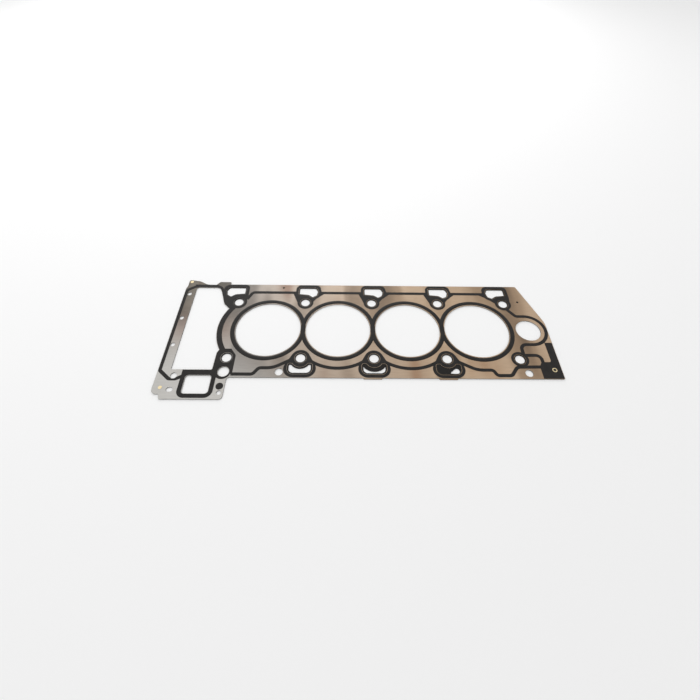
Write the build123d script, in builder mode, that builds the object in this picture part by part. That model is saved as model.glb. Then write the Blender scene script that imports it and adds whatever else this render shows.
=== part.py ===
from build123d import *
import os
from math import sqrt

# Cylinder head gasket of one bank of a V engine, in millimetres
# A carrier sheet and an active sheet with stopper rings between them, beads and printed elastomer on top
# The origin is the centre of the bore next to the timing flange, on the lower face
# +X runs along the bores away from the timing flange, +Y to the long straight edge, +Z up

# Bores and head bolts
bore_count = 4
bore_radius = 45.4
bore_web = 7.2
bolt_row = 48.3
bolt_hole_radius = 7.8

# Sheets and stack
carrier_thickness = 0.7
active_thickness = 0.25
ledge = 1.4
kidney_ledge = 2.0
stopper_thickness = 0.15
stopper_width = 1.8
stopper_setback = 0.2

# Raised beads and printed elastomer
bead_setback = 1.1
bead_width = 6.0
bead_crest = 2.8
bead_height = 0.35
line_width = 4.7
line_height = 0.15
print_margin = 0.4

# Long edges, measured from the bolt rows
far_border = 35.2
near_border = 29.7
edge_fillet = 2.0
lip_reach = 1.6
lip_width = 27.0
lip_shift = 2.5
lip_angle = 60

# Far end, measured from the last bore
end_reach = 101.0
end_corner_reach = 100.0
slant_foot_height = 14.0
slant_top_reach = 76.0
slant_fillet = 30.0

# Passages beside the upper bolts
slot_length = 30.3
slot_lead = 11.3
slot_height = 20.3
slot_gap = 9.6
slot_end_shift = 4.0
slot_nose_cut = 3.5
slot_nose_drop = 7.8
slot_heel_cut = 2.0
slot_heel_rise = 4.0
slot_foot_cut = 9.0
slot_throat_rise = 4.8
slot_start_rise = 6.3
slot_start_run = 3.0
slot_ring_width = 4.2

# Passages beside the lower bolts
kidney_width = 33.0
kidney_gap = 24.4
kidney_tip_gap = 8.2
kidney_center_gap = 2.2
kidney_inner_radius = 12.0
kidney_fillet = 8.0
kidney_tip_fillet = 3.0
crescent_inner_radius = 17.8
drop_reach = 10.0
drop_gap = 18.6
drop_radius = 3.9
drop_tail_reach = 2.8
drop_tail_gap = 21.2
drop_tail_radius = 1.2
kidney_ring_width = 4.8
bolt_ring_width = 4.0

# Coolant passage at the far end
coolant_reach = 73.5
coolant_radius = 17.4
coolant_line_radius = 24.7

# Timing flange, measured from the first bore
flange_reach = 133.5
flange_width = 16.2
timing_right = -64.3
timing_bottom = -66.8
timing_arc_gap = 25.6
timing_arc_half_height = 36.0
timing_throat_run = 9.2
timing_throat_rise = 9.5
timing_shoulder_run = 7.0
timing_shoulder_drop = 11.0
timing_top_run = 4.5
timing_lean = 0.7
timing_leg = 5.0
timing_band = 7.5
neck_width = 5.7
foot_drop = 31.0
foot_side = -43.5
foot_lobe_width = 10.0
foot_lobe_rise = 6.7
foot_lobe_slope = 2.7
tab_rise = 8.8
tab_width = 19.0
tab_ramp = 12.0
tab_shoulder_rise = 6.0
tab_inset = 1.7
tab_step_drop = 3.5
tab_step_height = 6.0
lug_reach = 66.0
lug_width = 17.0
lug_ramp = 4.5
lug_rise = 5.0
neck_setback = 0.8

# Window in the foot
window_width = 33.0
window_height = 26.0
window_side_gap = 19.3
window_top_gap = 8.5
window_fillet = 4.0
window_ring_width = 6.0

# Cover holes, dowels and rivets
cover_hole_radius = 3.1
cover_hole_inset = 8.0
corner_hole_radius = 7.3
near_hole_radius = 5.2
near_hole_inset = 8.3
near_hole_lead = 26.5
near_hole_lag = 6.5
foot_hole_inset = 9.0
cover_hole_pitch = 46.0
cover_hole_first = 64.0
pin_hole_radius = 4.3
pin_inset = 6.0
pin_hole_drop = 9.0
pin_slot_drop = 20.0
pin_slot_width = 6.6
pad_radius = 4.8
pad_inset = 18.1
rivet_radius = 2.4
hollow_rivet_radius = 3.2
rivet_bore_radius = 2.0
rivet_head_height = 0.3
rivet_shift = 2.0
foot_rivet_rise = 15.8
tab_rivet_rise = 4.5
hollow_rivet_inset = 9.5
hollow_rivet_rise = 13.5
vent_radius = 1.7
vent_lead = 35.0
vent_inset = 5.9
end_vent_lag = 22.7
end_vent_rise = 4.2

# Printed lines and fields
upper_line_rise = 19.5
near_line_rise = 4.7
near_arc_gap = 18.3
near_arc_sweep = 76
strip_width = 10.2
strip_top = -21.0

# Levels of the stack
stopper_level = carrier_thickness
active_level = stopper_level + stopper_thickness
top_level = active_level + active_thickness

# Places that follow from the sizes above
bore_pitch = 2 * bore_radius + bore_web
bore_x = [i * bore_pitch for i in range(bore_count)]
bolt_x = [(i - 0.5) * bore_pitch for i in range(bore_count + 1)]
last_bore = bore_x[-1]
first_bolt = bolt_x[0]
last_bolt = bolt_x[-1]
far_edge = bolt_row + far_border
near_edge = -bolt_row - near_border
flange_edge = -flange_reach
foot_edge = near_edge - foot_drop
lug_edge = flange_edge + lug_reach
neck_edge = far_edge - neck_setback
timing_left = flange_edge + flange_width
timing_top = neck_edge - neck_width
timing_arc_radius = bore_radius + timing_arc_gap
timing_cusp_x = -sqrt(timing_arc_radius**2 - timing_arc_half_height**2)
timing_throat_x = timing_cusp_x - timing_throat_run
slot_end = slot_length - slot_lead
slot_bottom = bolt_row + slot_gap
slot_top = slot_bottom + slot_height
coolant_x = last_bore + coolant_reach
cover_hole_x = flange_edge + cover_hole_inset
cover_hole_y = [cover_hole_first - i * cover_hole_pitch for i in range(3)]
window_center_x = foot_side - window_side_gap - window_width / 2
window_center_y = timing_bottom - window_top_gap - window_height / 2
near_hole_x = [bolt_x[1] - near_hole_lead, last_bolt + near_hole_lag]
hollow_rivet_x = last_bore + end_corner_reach - hollow_rivet_inset
hollow_rivet_y = near_edge + hollow_rivet_rise
pin_x = timing_left + pin_inset
pin_y = timing_bottom - pin_hole_drop
kidney_center_y = -bolt_row - kidney_center_gap
vent_places = [
    (bolt_x[1] - vent_lead, far_edge - vent_inset),
    (last_bolt + end_vent_lag, bolt_row + end_vent_rise),
]
bead_inner_radius = bore_radius + bead_setback
bead_outer_radius = bead_inner_radius + bead_width
bead_slope = (bead_width - bead_crest) / 2

# Outer edge of every sheet, clockwise from the corner between the foot and the long near edge
with BuildSketch() as sheet_outline:
    with BuildLine():
        FilletPolyline(
            (foot_side, near_edge),
            (last_bore + end_corner_reach, near_edge),
            (last_bore + end_reach, slant_foot_height),
            (last_bore + slant_top_reach, far_edge),
            (lug_edge, far_edge),
            (lug_edge, far_edge + lug_rise),
            (lug_edge - lug_width, far_edge + lug_rise),
            (lug_edge - lug_width - lug_ramp, neck_edge),
            (flange_edge + tab_width + tab_ramp, neck_edge),
            (flange_edge + tab_width, far_edge + tab_shoulder_rise),
            (flange_edge + tab_inset, far_edge + tab_rise),
            (flange_edge + tab_inset, far_edge - tab_step_drop),
            (flange_edge, far_edge - tab_step_drop - tab_step_height),
            (flange_edge, foot_edge + foot_lobe_rise),
            (flange_edge + foot_lobe_width, foot_edge + foot_lobe_rise),
            (flange_edge + foot_lobe_width + foot_lobe_slope, foot_edge),
            (foot_side, foot_edge),
            radius=[4, 1.5, slant_fillet, edge_fillet, 0, 1.5, 1.5, 0, 15, 15, 3, 0, 0, 7, 0, 0, 4.5],
            close=True,
        )
    make_face()

# Opening for the timing chain, with an arc about the first bore
with BuildSketch() as timing_opening:
    with BuildLine():
        upper = FilletPolyline(
            (timing_cusp_x, timing_arc_half_height),
            (timing_throat_x, timing_arc_half_height + timing_throat_rise),
            (timing_throat_x - timing_shoulder_run, timing_top - timing_shoulder_drop),
            (timing_throat_x - timing_shoulder_run - timing_top_run, timing_top),
            (timing_left, timing_top),
            (timing_left, timing_bottom),
            (timing_right, timing_bottom),
            (timing_right + timing_lean, -timing_arc_half_height - timing_leg),
            (timing_cusp_x, -timing_arc_half_height),
            radius=[5, 15, 8, 4, 1.5, 1.5, 4],
        )
        ThreePointArc((timing_cusp_x, -timing_arc_half_height), (-timing_arc_radius, 0), upper @ 0)
    make_face()

# Window in the foot
with BuildSketch(Plane((window_center_x, window_center_y))) as window:
    RectangleRounded(window_width, window_height, window_fillet)

# Passage beside an upper bolt, about the bolt's own place
with BuildSketch() as slot:
    with BuildLine():
        FilletPolyline(
            (-slot_lead, slot_top),
            (slot_end - slot_nose_cut, slot_top),
            (slot_end, slot_top - slot_nose_drop),
            (slot_end - slot_heel_cut, slot_bottom + slot_heel_rise),
            (slot_end - slot_foot_cut, slot_bottom),
            (slot_start_run, slot_bottom + slot_throat_rise),
            (-slot_lead, slot_bottom + slot_start_rise),
            radius=[3.5, 5, 5, 4, 2.5, 4, 2.5],
            close=True,
        )
    make_face()

# Kidney below a lower bolt, about the bolt's own place
with BuildSketch() as kidney:
    with BuildLine():
        FilletPolyline(
            (-kidney_width / 2, -bolt_row - kidney_tip_gap),
            (-kidney_width / 2, -bolt_row - kidney_gap),
            (kidney_width / 2, -bolt_row - kidney_gap),
            (kidney_width / 2, -bolt_row - kidney_tip_gap),
            radius=[kidney_tip_fillet, kidney_fillet, kidney_fillet, kidney_tip_fillet],
            close=True,
        )
    make_face()
    with Locations((0, kidney_center_y)):
        Circle(kidney_inner_radius, mode=Mode.SUBTRACT)

# Grown or shrunk all round, with sharp corners kept sharp
def resized(shape, grow):
    return offset(shape, amount=grow, kind=Kind.INTERSECTION, mode=Mode.PRIVATE) if grow else shape


# The passages at their places, the outer two slots facing the other way
def placed_slots(grow):
    grown = resized(slot.sketch, grow)
    turned = grown.mirror(Plane.YZ)
    outer = [Location((x - slot_end_shift, 0)) * turned for x in (first_bolt, last_bolt)]
    return outer + [Location((x, 0)) * grown for x in bolt_x[1:-1]]


def placed_kidneys(grow):
    grown = resized(kidney.sketch, grow)
    return [Location((x, 0)) * grown for x in bolt_x[1:-1]]


# The carrier meters the flow through its kidneys: one open, one a crescent, one a drop
def metering_holes():
    inner = resized(kidney.sketch, -kidney_ledge)
    with BuildSketch() as crescent:
        add(inner)
        with Locations((0, kidney_center_y)):
            Circle(crescent_inner_radius, mode=Mode.SUBTRACT)
    with BuildSketch() as drop:
        with Locations((drop_reach, -bolt_row - drop_gap)):
            Circle(drop_radius)
        with Locations((drop_tail_reach, -bolt_row - drop_tail_gap)):
            Circle(drop_tail_radius)
        make_hull()
    return [Location((x, 0)) * hole for x, hole in zip(bolt_x[1:-1], (inner, crescent.sketch, drop.sketch))]


# Every opening of a layer except bores and kidneys: passages grown by one amount, fixing holes by another
def openings(passage_grow, hole_grow):
    with BuildSketch() as cuts:
        add(placed_slots(passage_grow))
        with Locations(*[(x, side * bolt_row) for x in bolt_x for side in (-1, 1)]):
            Circle(bolt_hole_radius + passage_grow)
        with Locations((coolant_x, 0)):
            Circle(coolant_radius + hole_grow)
        with Locations((first_bolt, near_edge + near_hole_inset)):
            Circle(corner_hole_radius + hole_grow)
        with Locations(*[(x, near_edge + near_hole_inset) for x in near_hole_x]):
            Circle(near_hole_radius + hole_grow)
        with Locations(*[(cover_hole_x, y) for y in cover_hole_y]):
            Circle(cover_hole_radius + hole_grow)
        with Locations((first_bolt, foot_edge + foot_hole_inset)):
            Circle(cover_hole_radius + hole_grow)
        with Locations((pin_x, pin_y)):
            Circle(pin_hole_radius + hole_grow)
        with Locations((pin_x, pin_y - pin_slot_drop)):
            SlotOverall(2 * pin_hole_radius + 2 * hole_grow, pin_slot_width + 2 * hole_grow)
        add(resized(timing_opening.sketch, hole_grow))
        add(resized(window.sketch, hole_grow))
    return cuts.sketch


# One sheet of the stack, drawn at its own level
def layer_sketch(level, outline, cuts, own_cuts):
    with BuildSketch(Plane.XY.offset(level)) as layer:
        add(outline)
        add(cuts, mode=Mode.SUBTRACT)
        add(own_cuts, mode=Mode.SUBTRACT)
        with Locations(*[(x, 0) for x in bore_x]):
            Circle(bore_radius, mode=Mode.SUBTRACT)
    return layer.sketch


# The carrier has two lips past the long near edge
with BuildSketch() as carrier_outline:
    add(sheet_outline.sketch)
    with Locations(*[(x - lip_shift, near_edge) for x in bolt_x[2:-1]]):
        Trapezoid(lip_width, 2 * lip_reach, lip_angle, rotation=180)

with BuildPart() as carrier_sheet:
    add(layer_sketch(0, carrier_outline.sketch, openings(-ledge, 0), metering_holes()))
    extrude(amount=carrier_thickness)

# The active sheet has whole kidneys, and two vents that stop at the carrier
with BuildSketch() as vents:
    with Locations(*vent_places):
        Circle(vent_radius)

with BuildPart() as active_sheet:
    own_cuts = placed_kidneys(0) + [vents.sketch]
    add(layer_sketch(active_level, sheet_outline.sketch, openings(0, 0), own_cuts))
    extrude(amount=active_thickness)

# Rings that stop the beads round the bores from being crushed
with BuildPart() as stopper_rings:
    with BuildSketch(Plane.XY.offset(stopper_level)):
        with Locations(*[(x, 0) for x in bore_x]):
            Circle(bore_radius + stopper_setback + stopper_width)
        with Locations(*[(x, 0) for x in bore_x]):
            Circle(bore_radius + stopper_setback, mode=Mode.SUBTRACT)
    extrude(amount=stopper_thickness)


# A line of print along a path with rounded corners, and a field of print inside a rounded outline
def stroke(points, radii):
    with BuildSketch() as line:
        with BuildLine():
            FilletPolyline(*points, radius=radii) if radii else Polyline(*points)
        trace(line_width=line_width)
    return line.sketch


def field(points, radii):
    with BuildSketch() as area:
        with BuildLine():
            FilletPolyline(*points, radius=radii, close=True)
        make_face()
    return area.sketch


upper_line = bolt_row + upper_line_rise
half_line = line_width / 2
print_top = far_edge - print_margin
near_line = near_edge + near_line_rise
near_arc = bore_radius + near_arc_gap
strip_left = last_bore + end_corner_reach - strip_width
strip_right = last_bore + max(end_reach, end_corner_reach)


def slot_field(x):
    return field(
        [
            (x - 14, print_top),
            (x + 21.5, print_top),
            (x + 22, upper_line + 1),
            (x + 27, upper_line - half_line),
            (x + 16.5, bolt_row + 8.7),
            (x + 10, bolt_row),
            (x - 10.5, bolt_row - 3),
            (x - 19, upper_line - half_line),
            (x - 14, upper_line + half_line),
        ],
        [6, 8, 0, 0, 8, 0, 0, 0, 0],
    )


def end_slot_field(x):
    return field(
        [
            (x - 27, print_top),
            (x + 11.5, print_top),
            (x + 12, bolt_row + 13),
            (x + 10.5, bolt_row),
            (x - 10.5, bolt_row),
            (x - 22, bolt_row + 10.7),
            (x - 33, upper_line - half_line),
            (x - 27, upper_line + half_line),
        ],
        [9, 7, 4, 0, 0, 0, 0, 0],
    )


def kidney_field(x):
    height = kidney_gap - kidney_tip_gap + 2 * kidney_ring_width
    with BuildSketch() as area:
        with Locations((x, -bolt_row)):
            Circle(bolt_hole_radius + kidney_ring_width)
        with Locations((x, -bolt_row - kidney_gap - kidney_ring_width + height / 2)):
            RectangleRounded(kidney_width + 2 * kidney_ring_width, height, kidney_fillet + kidney_ring_width)
        make_hull()
    return area.sketch


# Elastomer lines and fields, drawn as seen from above
with BuildSketch() as line_print:
    add(placed_slots(slot_ring_width))
    add([kidney_field(x) for x in bolt_x[1:-1]])
    with Locations(*[(x, bolt_row) for x in bolt_x]):
        Circle(bolt_hole_radius + bolt_ring_width)
    with Locations((last_bolt, -bolt_row)):
        Circle(bolt_hole_radius + bolt_ring_width)
    add([slot_field(x) for x in bolt_x[1:-1]])
    add([end_slot_field(x) for x in (first_bolt, last_bolt)])

    # Line along the upper bolts, from slot to slot
    start = (first_bolt + 11, bolt_row + 6)
    add(stroke([start, (first_bolt + 18, upper_line), (bolt_x[1] - 13, upper_line)], 6))
    for left, right in zip(bolt_x[1:-2], bolt_x[2:-1]):
        add(stroke([(left + 18, upper_line), (right - 13, upper_line)], None))
    add(stroke([(bolt_x[-2] + 18, upper_line), (last_bolt - 26, upper_line)], None))

    # Line along the lower bolts: an arc about each bore, with a step past each hole near the edge
    for x in bore_x[1:-1]:
        with BuildLine():
            CenterArc((x, 0), near_arc, 270 - near_arc_sweep / 2, near_arc_sweep)
        trace(line_width=line_width)
    add(
        stroke(
            [
                (first_bolt + 10, near_line),
                (-11, near_line),
                (-4, -near_arc),
                (14, -near_arc),
                (bolt_x[1] - 11, -bolt_row - 2),
            ],
            [6, 6, near_arc / 2],
        )
    )
    x = last_bore
    add(
        stroke(
            [
                (bolt_x[-2] + 13, -bolt_row - 4),
                (x - 12, -near_arc - 1.5),
                (x + 9, -near_arc - 1.5),
                (x + 13, near_line),
                (x + 32, near_line),
                (last_bolt - 7, -bolt_row - 12),
                (last_bolt + 30, -bolt_row - 11.5),
            ],
            [near_arc / 2, 5, 5, 6, 8],
        )
    )

    # Band beside the timing opening, and the field round the two holes of the near corner
    with BuildLine():
        CenterArc((0, 0), timing_arc_radius - timing_band / 2, 145, 70)
    trace(line_width=timing_band)
    add(
        field(
            [
                (timing_right - 3, -bolt_row + 14),
                (first_bolt + 4, -bolt_row + 14),
                (first_bolt + 11.7, -bolt_row + 4),
                (first_bolt + 11.7, near_line),
                (timing_right - 3, near_line),
            ],
            [0, 0, 5, 0, 0],
        )
    )
    with Locations((first_bolt - 1.0, near_edge + 8.0)):
        Circle(bolt_hole_radius + bolt_ring_width - 1.0)

    # Ring round the window and band round the timing flange
    with Locations((window_center_x, window_center_y)):
        RectangleRounded(
            window_width + 2 * window_ring_width,
            window_height + 2 * window_ring_width,
            window_fillet + window_ring_width,
        )
    with Locations((window_center_x, timing_bottom - window_top_gap / 2)):
        Rectangle(window_width + 2 * window_ring_width, window_top_gap)
    add(
        field(
            [
                (first_bolt - 32, upper_line - 2),
                (first_bolt - 20, upper_line - 6),
                (first_bolt - 9, bolt_row + 2),
                (first_bolt - 8, bolt_row - 9),
                (first_bolt - 14, timing_arc_half_height - 3),
                (first_bolt - 26, timing_arc_half_height),
            ],
            [0, 0, 0, 0, 0, 0],
        )
    )
    add(
        stroke(
            [
                (first_bolt - 27, upper_line),
                (first_bolt - 31, timing_top - 1),
                (first_bolt - 38, timing_top + neck_width / 2),
                (flange_edge + 16, timing_top + neck_width / 2),
                (flange_edge + half_line, timing_top - 6),
                (flange_edge + half_line, timing_bottom - 1.5),
                (flange_edge + 17, timing_bottom - 14),
                (flange_edge + 26, timing_bottom - 14),
                (flange_edge + 35, timing_bottom - 9),
            ],
            [4, 6, 15, 6, 4, 5, 5],
        )
    )
    with Locations((flange_edge + 30, timing_top + neck_width / 2)):
        Rectangle(34, neck_width)

    # Line from the last bolts round the coolant passage, and the field in the near corner
    add(
        stroke(
            [
                (last_bolt, bolt_row),
                (last_bolt + 3.0, bolt_row - 10),
                (last_bolt + 13.0, coolant_line_radius + 0.5),
                (coolant_x + 1.0, coolant_line_radius + 0.5),
            ],
            [5, 6],
        )
    )
    with BuildLine():
        CenterArc((coolant_x, 0.5), coolant_line_radius, -95, 190)
    trace(line_width=line_width)
    add(
        stroke(
            [
                (coolant_x, 0.5 - coolant_line_radius),
                (last_bolt + 6.8, 0.5 - coolant_line_radius),
                (last_bolt + 6.8, -bolt_row + 6.5),
                (last_bolt + 29.4, -bolt_row + 6.5),
                (last_bolt + 29.4, -bolt_row - 8),
            ],
            [8, 3, 7],
        )
    )
    add(
        field(
            [
                (strip_left, strip_top),
                (strip_right, strip_top),
                (strip_right, near_edge),
                (last_bolt + 23.5, near_edge),
                (last_bolt + 23.5, -bolt_row - 11),
                (last_bolt + 27.5, -bolt_row - 4),
                (strip_left, -bolt_row - 4),
            ],
            [0, 0, 0, 0, 0, 0, 3],
        )
    )
    with Locations((first_bolt - 0.8, foot_edge + pad_inset)):
        Circle(pad_radius)

    # Keep the print off every edge, off the beads and off the hollow rivet's rim
    with Locations((hollow_rivet_x, hollow_rivet_y)):
        Circle(hollow_rivet_radius, mode=Mode.SUBTRACT)
        Circle(rivet_bore_radius)
    add(openings(print_margin, print_margin), mode=Mode.SUBTRACT)
    add(placed_kidneys(print_margin), mode=Mode.SUBTRACT)
    with Locations(*[(x, 0) for x in bore_x]):
        Circle(bead_outer_radius, mode=Mode.SUBTRACT)
    add(resized(sheet_outline.sketch, -print_margin), mode=Mode.INTERSECT)

with BuildPart() as line_seal:
    with BuildSketch(Plane.XY.offset(top_level)):
        add(line_print.sketch)
    extrude(amount=line_height)

# Raised beads round the bores, one ring running into the next over each web
with BuildPart() as bead_seal:
    for x in bore_x:
        with BuildSketch(Plane((x, 0, top_level), x_dir=(1, 0, 0), z_dir=(0, -1, 0))):
            with BuildLine():
                Polyline(
                    (bead_inner_radius, 0),
                    (bead_outer_radius, 0),
                    (bead_outer_radius - bead_slope, bead_height),
                    (bead_inner_radius + bead_slope, bead_height),
                    close=True,
                )
            make_face()
        revolve(axis=Axis((x, 0, 0), (0, 0, 1)))
    with BuildSketch(Plane.XY.offset(top_level)):
        with Locations(*[(x, 0) for x in bore_x]):
            Circle(bore_radius + print_margin)
    extrude(amount=bead_height, mode=Mode.SUBTRACT)

# Heads of the rivets that hold the sheets together, the one in the print with a hollow shank
with BuildPart() as rivets:
    with BuildSketch(Plane.XY.offset(top_level)):
        with Locations(
            (cover_hole_x + rivet_shift, foot_edge + foot_rivet_rise),
            (cover_hole_x - rivet_shift, far_edge + tab_rivet_rise),
        ):
            Circle(rivet_radius)
        with Locations((hollow_rivet_x, hollow_rivet_y)):
            Circle(hollow_rivet_radius)
            Circle(rivet_bore_radius, mode=Mode.SUBTRACT)
    extrude(amount=rivet_head_height)

os.makedirs("parts", exist_ok=True)
nodes = {
    "carrier_sheet": carrier_sheet,
    "stopper_rings": stopper_rings,
    "active_sheet": active_sheet,
    "line_seal": line_seal,
    "bead_seal": bead_seal,
    "rivets": rivets,
}
for name, node in nodes.items():
    node.part.label = name
    export_step(node.part, f"parts/{name}.step")
    size = node.part.bounding_box().size
    print(name, len(node.part.solids()), round(node.part.volume, 1), [round(v, 2) for v in size])
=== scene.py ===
import math

import bmesh
import bpy
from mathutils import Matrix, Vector


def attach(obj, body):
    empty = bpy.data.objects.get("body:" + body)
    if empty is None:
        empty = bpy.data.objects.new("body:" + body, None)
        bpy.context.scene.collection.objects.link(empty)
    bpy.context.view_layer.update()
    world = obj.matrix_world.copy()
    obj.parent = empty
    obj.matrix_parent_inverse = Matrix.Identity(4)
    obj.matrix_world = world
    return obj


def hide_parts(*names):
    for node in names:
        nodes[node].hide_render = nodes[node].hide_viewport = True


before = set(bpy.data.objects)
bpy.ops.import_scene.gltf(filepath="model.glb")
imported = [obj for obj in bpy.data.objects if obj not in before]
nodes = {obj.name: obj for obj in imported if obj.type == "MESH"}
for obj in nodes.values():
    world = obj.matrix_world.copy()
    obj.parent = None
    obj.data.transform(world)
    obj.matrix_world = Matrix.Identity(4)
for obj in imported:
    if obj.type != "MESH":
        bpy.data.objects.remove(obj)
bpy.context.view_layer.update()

noiseSpan = (0.3, 0.7)  # where most values of a noise lie
wallSpan = (0.6, 0.3)  # how far a normal points up or down where a wall begins and where it is full


def newMaterial(name):
    material = bpy.data.materials.new(name)
    material.use_nodes = True
    tree = material.node_tree
    tree.nodes.clear()
    output = tree.nodes.new("ShaderNodeOutputMaterial")
    shader = tree.nodes.new("ShaderNodeBsdfPrincipled")
    tree.links.new(shader.outputs["BSDF"], output.inputs["Surface"])
    return material, tree, shader


def setOrLink(tree, socket, value):
    if isinstance(value, bpy.types.NodeSocket):
        tree.links.new(value, socket)
    else:
        socket.default_value = value


def mappedNoise(tree, scale, stretch, detail, roughness, shift=(0, 0, 0)):
    coordinates = tree.nodes.new("ShaderNodeTexCoord")
    mapping = tree.nodes.new("ShaderNodeMapping")
    mapping.inputs["Scale"].default_value = stretch
    mapping.inputs["Location"].default_value = shift
    noise = tree.nodes.new("ShaderNodeTexNoise")
    noise.inputs["Scale"].default_value = scale
    noise.inputs["Detail"].default_value = detail
    noise.inputs["Roughness"].default_value = roughness
    tree.links.new(coordinates.outputs["Object"], mapping.inputs["Vector"])
    tree.links.new(mapping.outputs["Vector"], noise.inputs["Vector"])
    return noise.outputs["Fac"]


def colorRamp(tree, factor, stops):
    ramp = tree.nodes.new("ShaderNodeValToRGB")
    ramp.color_ramp.interpolation = "EASE"
    elements = ramp.color_ramp.elements
    elements[0].position, elements[0].color = stops[0][0], (*stops[0][1], 1)
    elements[1].position, elements[1].color = stops[-1][0], (*stops[-1][1], 1)
    for place, color in stops[1:-1]:
        elements.new(place).color = (*color, 1)
    tree.links.new(factor, ramp.inputs["Fac"])
    return ramp.outputs["Color"]


def mapRange(tree, value, low, high, toLow=0, toHigh=1):
    node = tree.nodes.new("ShaderNodeMapRange")
    node.inputs["From Min"].default_value = low
    node.inputs["From Max"].default_value = high
    node.inputs["To Min"].default_value = toLow
    node.inputs["To Max"].default_value = toHigh
    tree.links.new(value, node.inputs["Value"])
    return node.outputs["Result"]


def mixColor(tree, factor, first, second, blend="MIX"):
    node = tree.nodes.new("ShaderNodeMix")
    node.data_type = "RGBA"
    node.blend_type = blend
    for name, value in (("Factor", factor), ("A", first), ("B", second)):
        setOrLink(tree, node.inputs[name], value)
    return node.outputs["Result"]


def mathNode(tree, operation, *values):
    node = tree.nodes.new("ShaderNodeMath")
    node.operation = operation
    for socket, value in zip(node.inputs, values):
        setOrLink(tree, socket, value)
    return node.outputs["Value"]


def objectAxes(tree, output="Object"):
    coordinates = tree.nodes.new("ShaderNodeTexCoord")
    split = tree.nodes.new("ShaderNodeSeparateXYZ")
    tree.links.new(coordinates.outputs[output], split.inputs["Vector"])
    return split.outputs


def wallMask(tree):  # 1 on upright walls, 0 on flat faces
    steepness = mathNode(tree, "ABSOLUTE", objectAxes(tree, "Normal")["Z"])
    return mapRange(tree, steepness, *wallSpan)


def addRoughness(tree, shader, noise, span):
    tree.links.new(mapRange(tree, noise, *noiseSpan, *span), shader.inputs["Roughness"])


def addBump(tree, shader, height, strength, distance):
    bump = tree.nodes.new("ShaderNodeBump")
    bump.inputs["Strength"].default_value = strength
    bump.inputs["Distance"].default_value = distance
    tree.links.new(height, bump.inputs["Height"])
    tree.links.new(bump.outputs["Normal"], shader.inputs["Normal"])


coatingLook = {
    "bands": {
        "scale": 5.0, "stretch": (3.2, 0.9, 1.0), "detail": 2.0, "roughness": 0.45,
        "shift": (0.4, 0.2, 0.0),
    },
    "warmTones": [
        (0.30, (0.195, 0.136, 0.090)),
        (0.42, (0.330, 0.232, 0.152)),
        (0.55, (0.480, 0.350, 0.240)),
        (0.70, (0.355, 0.222, 0.135)),
    ],
    "greyTones": [
        (0.30, (0.094, 0.086, 0.079)),
        (0.42, (0.158, 0.142, 0.128)),
        (0.56, (0.282, 0.254, 0.228)),
        (0.72, (0.184, 0.132, 0.112)),
    ],
    "greyUntil": -0.04,  # along the bores, then it turns warm: partly the coat's own tone, partly painted reflection
    "warmFrom": 0.25,
    "flangeUntil": -0.085,  # along the bores, then the flange's tones and painted reflection fade out
    "flangeGone": -0.035,
    "flangeSpan": (-0.06, 0.07),  # across, over which these tones and painted reflection run
    "flangeTonesAndReflection": [  # brown, then dark, towards the flange's far end: partly the coat's own tone, partly painted reflection
        (0.1, (1.0, 1.0, 1.0)),
        (0.45, (0.82, 0.66, 0.60)),
        (0.75, (0.60, 0.57, 0.53)),
        (1.0, (0.52, 0.52, 0.49)),
    ],
    "footWay": (-0.5, -1.0),  # shares of X and Y that lead towards the foot
    "paleFrom": 0.035,  # along that way
    "paleFull": 0.13,
    "paleMost": 0.9,
    "paleToneAndReflection": (0.43, 0.42, 0.40, 1),  # the foot end paler: partly the coat's own tone, partly painted reflection
    "streaks": {"scale": 60.0, "stretch": (1.0, 14.0, 1.0), "detail": 3.0, "roughness": 0.6},
    "streakShades": [(0.3, (0.90, 0.90, 0.90)), (0.7, (1.0, 1.0, 1.0))],
    # bare steel on the active sheet's cut edges
    "cutEdgeAndShade": (0.72, 0.69, 0.64, 1),
    "roughness": (0.28, 0.40),
    "metallic": 0.9,
    "bump": {"strength": 0.12, "distance": 0.0002},
}


def coatColorAndReflection(tree, look, streaks):
    bands = mappedNoise(tree, **look["bands"])
    axes = objectAxes(tree)
    # grey, then warm along the bores: partly the coat's own tone, partly painted reflection
    warmth = mapRange(tree, axes["X"], look["greyUntil"], look["warmFrom"])
    warm = colorRamp(tree, bands, look["warmTones"])
    grey = colorRamp(tree, bands, look["greyTones"])
    coat = mixColor(tree, warmth, grey, warm)
    # the flange browner, then darker across it: partly its own tone, partly painted reflection
    shade = colorRamp(tree, mapRange(tree, axes["Y"], *look["flangeSpan"]), look["flangeTonesAndReflection"])
    onFlange = mapRange(tree, axes["X"], look["flangeUntil"], look["flangeGone"], 1, 0)
    shaded = mixColor(tree, 1.0, coat, shade, "MULTIPLY")
    coat = mixColor(tree, onFlange, coat, shaded)
    # paler towards the foot: partly the coat's own tone, partly painted reflection
    towardsFoot = mathNode(
        tree, "ADD",
        mathNode(tree, "MULTIPLY", axes["X"], look["footWay"][0]),
        mathNode(tree, "MULTIPLY", axes["Y"], look["footWay"][1]),
    )
    pale = mapRange(tree, towardsFoot, look["paleFrom"], look["paleFull"], 0, look["paleMost"])
    coat = mixColor(tree, pale, coat, look["paleToneAndReflection"])
    return mixColor(tree, 1.0, coat, colorRamp(tree, streaks, look["streakShades"]), "MULTIPLY")


def coatedSteel(name, look):
    material, tree, shader = newMaterial(name)
    streaks = mappedNoise(tree, **look["streaks"])
    coat = coatColorAndReflection(tree, look, streaks)
    color = mixColor(tree, wallMask(tree), coat, look["cutEdgeAndShade"])
    tree.links.new(color, shader.inputs["Base Color"])
    shader.inputs["Metallic"].default_value = look["metallic"]
    addRoughness(tree, shader, streaks, look["roughness"])
    addBump(tree, shader, streaks, **look["bump"])
    return material


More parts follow.
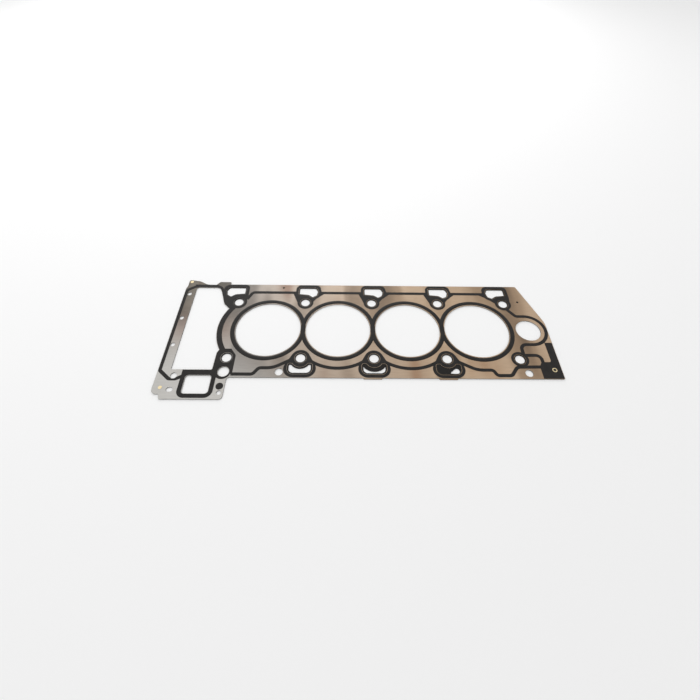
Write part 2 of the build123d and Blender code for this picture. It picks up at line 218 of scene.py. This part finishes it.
carrierLook = {
    "ledge": (0.012, 0.011, 0.010, 1),  # near black and not metal, on what shows of the carrier inside the openings
    "upSpan": (0.4, 0.6),  # how far a normal points up where the near black begins and where it is full
    "lipUntil": -0.0779,  # across, past the long near edge, where the two lips keep the coat's colour
    "lipBlend": 0.0001,
    # painted shade: the carrier's cut edges near black, for the shade under and between the sheets
    "cutEdgeAndShade": (0.05, 0.045, 0.04, 1),
    "roughness": (0.26, 0.42),
    "specular": 0.15,
    "bump": {"strength": 0.1, "distance": 0.0002},
}


def carrierSteelAndShade(name, look, coating):
    material, tree, shader = newMaterial(name)
    streaks = mappedNoise(tree, **coating["streaks"])
    coat = coatColorAndReflection(tree, coating, streaks)
    up = mapRange(tree, objectAxes(tree, "Normal")["Z"], *look["upSpan"])
    lipStart, lipEnd = look["lipUntil"] - look["lipBlend"], look["lipUntil"] + look["lipBlend"]
    inside = mapRange(tree, objectAxes(tree)["Y"], lipStart, lipEnd)
    ledge = mathNode(tree, "MULTIPLY", up, inside)
    faces = mixColor(tree, ledge, coat, look["ledge"])
    # painted shade: near black on the carrier's walls
    color = mixColor(tree, wallMask(tree), faces, look["cutEdgeAndShade"])
    tree.links.new(color, shader.inputs["Base Color"])
    tree.links.new(mapRange(tree, ledge, 0, 1, coating["metallic"], 0), shader.inputs["Metallic"])
    shader.inputs["Specular IOR Level"].default_value = look["specular"]
    addRoughness(tree, shader, streaks, look["roughness"])
    addBump(tree, shader, streaks, **look["bump"])
    return material


stopperLook = {
    "grain": {"scale": 70.0, "stretch": (1.0, 12.0, 1.0), "detail": 3.0, "roughness": 0.6},
    "tones": [(0.3, (0.48, 0.47, 0.45)), (0.7, (0.66, 0.65, 0.62))],
    "roughness": (0.24, 0.38),
    "bump": {"strength": 0.1, "distance": 0.0002},
}

brassLook = {
    "grain": {"scale": 900.0, "stretch": (1.0, 1.0, 1.0), "detail": 2.0, "roughness": 0.5},
    "tones": [(0.3, (0.60, 0.49, 0.29)), (0.7, (0.72, 0.61, 0.39))],
    "roughness": (0.25, 0.42),
    "bump": {"strength": 0.06, "distance": 0.0001},
}


def bareMetal(name, look):
    material, tree, shader = newMaterial(name)
    grain = mappedNoise(tree, **look["grain"])
    tree.links.new(colorRamp(tree, grain, look["tones"]), shader.inputs["Base Color"])
    shader.inputs["Metallic"].default_value = 1.0
    addRoughness(tree, shader, grain, look["roughness"])
    addBump(tree, shader, grain, **look["bump"])
    return material


rubberLook = {
    "mottle": {"scale": 90.0, "stretch": (1.0, 1.0, 1.0), "detail": 4.0, "roughness": 0.6},
    "tones": [(0.3, (0.007, 0.0062, 0.0056)), (0.7, (0.016, 0.0142, 0.0128))],
    "roughness": (0.45, 0.60),
    "specular": 0.2,
    "grain": {"scale": 2600.0, "stretch": (1.0, 1.0, 1.0), "detail": 2.0, "roughness": 0.6},
    "bump": {"strength": 0.25, "distance": 0.00008},
}


def printedRubber(name, look):
    material, tree, shader = newMaterial(name)
    mottle = mappedNoise(tree, **look["mottle"])
    grain = mappedNoise(tree, **look["grain"])
    tree.links.new(colorRamp(tree, mottle, look["tones"]), shader.inputs["Base Color"])
    shader.inputs["Specular IOR Level"].default_value = look["specular"]
    addRoughness(tree, shader, mottle, look["roughness"])
    addBump(tree, shader, grain, **look["bump"])
    return material


coatedMaterial = coatedSteel("bronzeCoatingAndReflection", coatingLook)
carrierMaterial = carrierSteelAndShade("carrierSteelAndShade", carrierLook, coatingLook)
stopperMaterial = bareMetal("stopperSteel", stopperLook)
rubberMaterial = printedRubber("printedRubber", rubberLook)
brassMaterial = bareMetal("rivetBrass", brassLook)
for name, material in {
    "active_sheet": coatedMaterial,
    "carrier_sheet": carrierMaterial,
    "stopper_rings": stopperMaterial,
    "line_seal": rubberMaterial,
    "bead_seal": rubberMaterial,
    "rivets": brassMaterial,
}.items():
    for slot in nodes[name].material_slots:
        slot.material = material
print("materials set on the sheets, print and rivets")

meshLook = {
    "merge": 1e-7,
    "flatWithin": 0.1,  # degrees, because a wider angle leaves the beads open at the webs
    "smoothUnder": 40,  # degrees
    "evenedWeight": 100,
    "topWithin": 1e-6,  # still level with the top
    "topFacing": 0.99,  # how far the normal of a top face points up
}


def mergedMesh(nodeName, look):
    bm = bmesh.new()
    bm.from_mesh(nodes[nodeName].data)
    bmesh.ops.remove_doubles(bm, verts=bm.verts, dist=look["merge"])
    bmesh.ops.dissolve_limit(
        bm, angle_limit=math.radians(look["flatWithin"]), verts=bm.verts, edges=bm.edges,
    )
    return bm


def meshObject(bm, name, material):
    mesh = bpy.data.meshes.new(name)
    bm.to_mesh(mesh)
    bm.free()
    mesh.materials.append(material)
    made = bpy.data.objects.new(name, mesh)
    bpy.context.collection.objects.link(made)
    return made


def finishPiece(bm, name, material, evened, look):
    piece = meshObject(bm, name, material)
    piece.data.shade_smooth()
    piece.data.set_sharp_from_angle(angle=math.radians(look["smoothUnder"]))
    if evened:  # keeps wide flat tops evenly shaded up to their rounded edges
        weighted = piece.modifiers.new("evenedNormals", "WEIGHTED_NORMAL")
        weighted.mode = "FACE_AREA"
        weighted.weight = look["evenedWeight"]
        weighted.keep_sharp = True
    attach(piece, "root")
    return piece


# Print, beads and rivet heads with their upper edges rounded, in place of the sharp solids
roundingLook = {
    "line_seal": {"piece": "printedLines", "bevel": 0.00009, "segments": 2, "evened": True},
    "bead_seal": {"piece": "boreBeads", "bevel": 0.0006, "segments": 3, "evened": False},
    "rivets": {"piece": "rivetHeads", "bevel": 0.00018, "segments": 3, "evened": True},
}


def topRim(bm, look):
    top = max(vert.co.z for vert in bm.verts)
    rim = []
    for edge in bm.edges:
        onTop = all(abs(vert.co.z - top) < look["topWithin"] for vert in edge.verts)
        flat = [face.normal.z > look["topFacing"] for face in edge.link_faces]
        if onTop and len(flat) == 2 and flat[0] != flat[1]:
            rim.append(edge)
    return rim


def roundTop(nodeName, look, material):
    bm = mergedMesh(nodeName, meshLook)
    bmesh.ops.bevel(
        bm, geom=topRim(bm, meshLook), offset=look["bevel"], offset_type="OFFSET",
        segments=look["segments"], profile=0.5, affect="EDGES", material=-1, clamp_overlap=True,
    )
    piece = finishPiece(bm, look["piece"], material, look["evened"], meshLook)
    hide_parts(nodeName)


roundTop("line_seal", roundingLook["line_seal"], rubberMaterial)
roundTop("bead_seal", roundingLook["bead_seal"], rubberMaterial)
roundTop("rivets", roundingLook["rivets"], brassMaterial)
print("print, beads and rivet heads rounded")

# The same print on the lower face, as a thin film against the carrier
underLook = {"film": 0.00003}


def makeUnderFilm(nodeName, pieceName, look):
    bm = mergedMesh(nodeName, meshLook)
    bottom = min(vert.co.z for vert in bm.verts)
    height = max(vert.co.z for vert in bm.verts) - bottom
    bmesh.ops.translate(bm, vec=(0, 0, -bottom), verts=bm.verts)
    bmesh.ops.scale(bm, vec=(1, 1, -look["film"] / height), verts=bm.verts)
    bmesh.ops.recalc_face_normals(bm, faces=bm.faces)
    piece = finishPiece(bm, pieceName, rubberMaterial, False, meshLook)


makeUnderFilm("line_seal", "lowerPrint", underLook)
makeUnderFilm("bead_seal", "lowerBeads", underLook)
print("lower print made")

stageCenter = (0.13, 0, 0)  # about the middle of the gasket's length

floorLook = {
    "size": 6.0,
    "level": -0.00005,  # just under the film on the lower face
    "color": (0.92, 0.92, 0.92, 1),
    "roughness": 0.75,
}


def makeFloor(look):
    bm = bmesh.new()
    bmesh.ops.create_grid(bm, x_segments=1, y_segments=1, size=look["size"] / 2)
    bmesh.ops.translate(bm, vec=(*stageCenter[:2], look["level"]), verts=bm.verts)
    material, tree, shader = newMaterial("paleTable")
    shader.inputs["Base Color"].default_value = look["color"]
    shader.inputs["Roughness"].default_value = look["roughness"]
    floor = meshObject(bm, "floor", material)


worldLook = {
    "soft": 0.79,  # light on the part
    "seen": 1.0,  # the white that the camera and the metal see
}


def whiteBackground(tree, strength):
    background = tree.nodes.new("ShaderNodeBackground")
    background.inputs["Color"].default_value = (1, 1, 1, 1)
    background.inputs["Strength"].default_value = strength
    return background.outputs["Background"]


def makeWorld(look):
    world = bpy.data.worlds.new("studio")
    bpy.context.scene.world = world
    world.use_nodes = True
    tree = world.node_tree
    tree.nodes.clear()
    output = tree.nodes.new("ShaderNodeOutputWorld")
    path = tree.nodes.new("ShaderNodeLightPath")
    shader = whiteBackground(tree, look["soft"])
    white = whiteBackground(tree, look["seen"])
    for kind in ("Is Glossy Ray", "Is Transmission Ray", "Is Camera Ray"):
        mix = tree.nodes.new("ShaderNodeMixShader")
        tree.links.new(path.outputs[kind], mix.inputs["Fac"])
        tree.links.new(shader, mix.inputs[1])  # inputs 1 and 2 share one name
        tree.links.new(white, mix.inputs[2])
        shader = mix.outputs["Shader"]
    tree.links.new(shader, output.inputs["Surface"])


lampLook = [
    {"name": "keyLamp", "place": (-0.8, 0.55, 1.3), "size": 1.5, "energy": 3},
    {"name": "backLamp", "place": (-0.15, 1.7, 0.68), "size": 1.3, "energy": 15},
]


def makeLamp(look):
    light = bpy.data.lights.new(look["name"], "AREA")
    light.size = look["size"]
    light.energy = look["energy"]
    lamp = bpy.data.objects.new(look["name"], light)
    lamp.location = look["place"]
    towardsPart = Vector(stageCenter) - lamp.location
    lamp.rotation_euler = towardsPart.to_track_quat("-Z", "Y").to_euler()
    bpy.context.collection.objects.link(lamp)


cameraLook = {
    "place": (0.10939, -0.29423, 0.39601),
    "turn": (33.269, -0.779, -0.037),  # degrees
    "lens": 17.954,
    "sensor": 36.0,
    "nearest": 0.01,
}


def makeCamera(look):
    data = bpy.data.cameras.new("camera")
    data.lens = look["lens"]
    data.sensor_width = look["sensor"]
    data.clip_start = look["nearest"]
    camera = bpy.data.objects.new("camera", data)
    camera.location = look["place"]
    camera.rotation_euler = [math.radians(angle) for angle in look["turn"]]
    bpy.context.collection.objects.link(camera)
    bpy.context.scene.camera = camera


makeFloor(floorLook)
makeWorld(worldLook)
for look in lampLook:
    makeLamp(look)
makeCamera(cameraLook)
bpy.context.scene.view_settings.view_transform = "Standard"
print("table, lamps and camera placed")
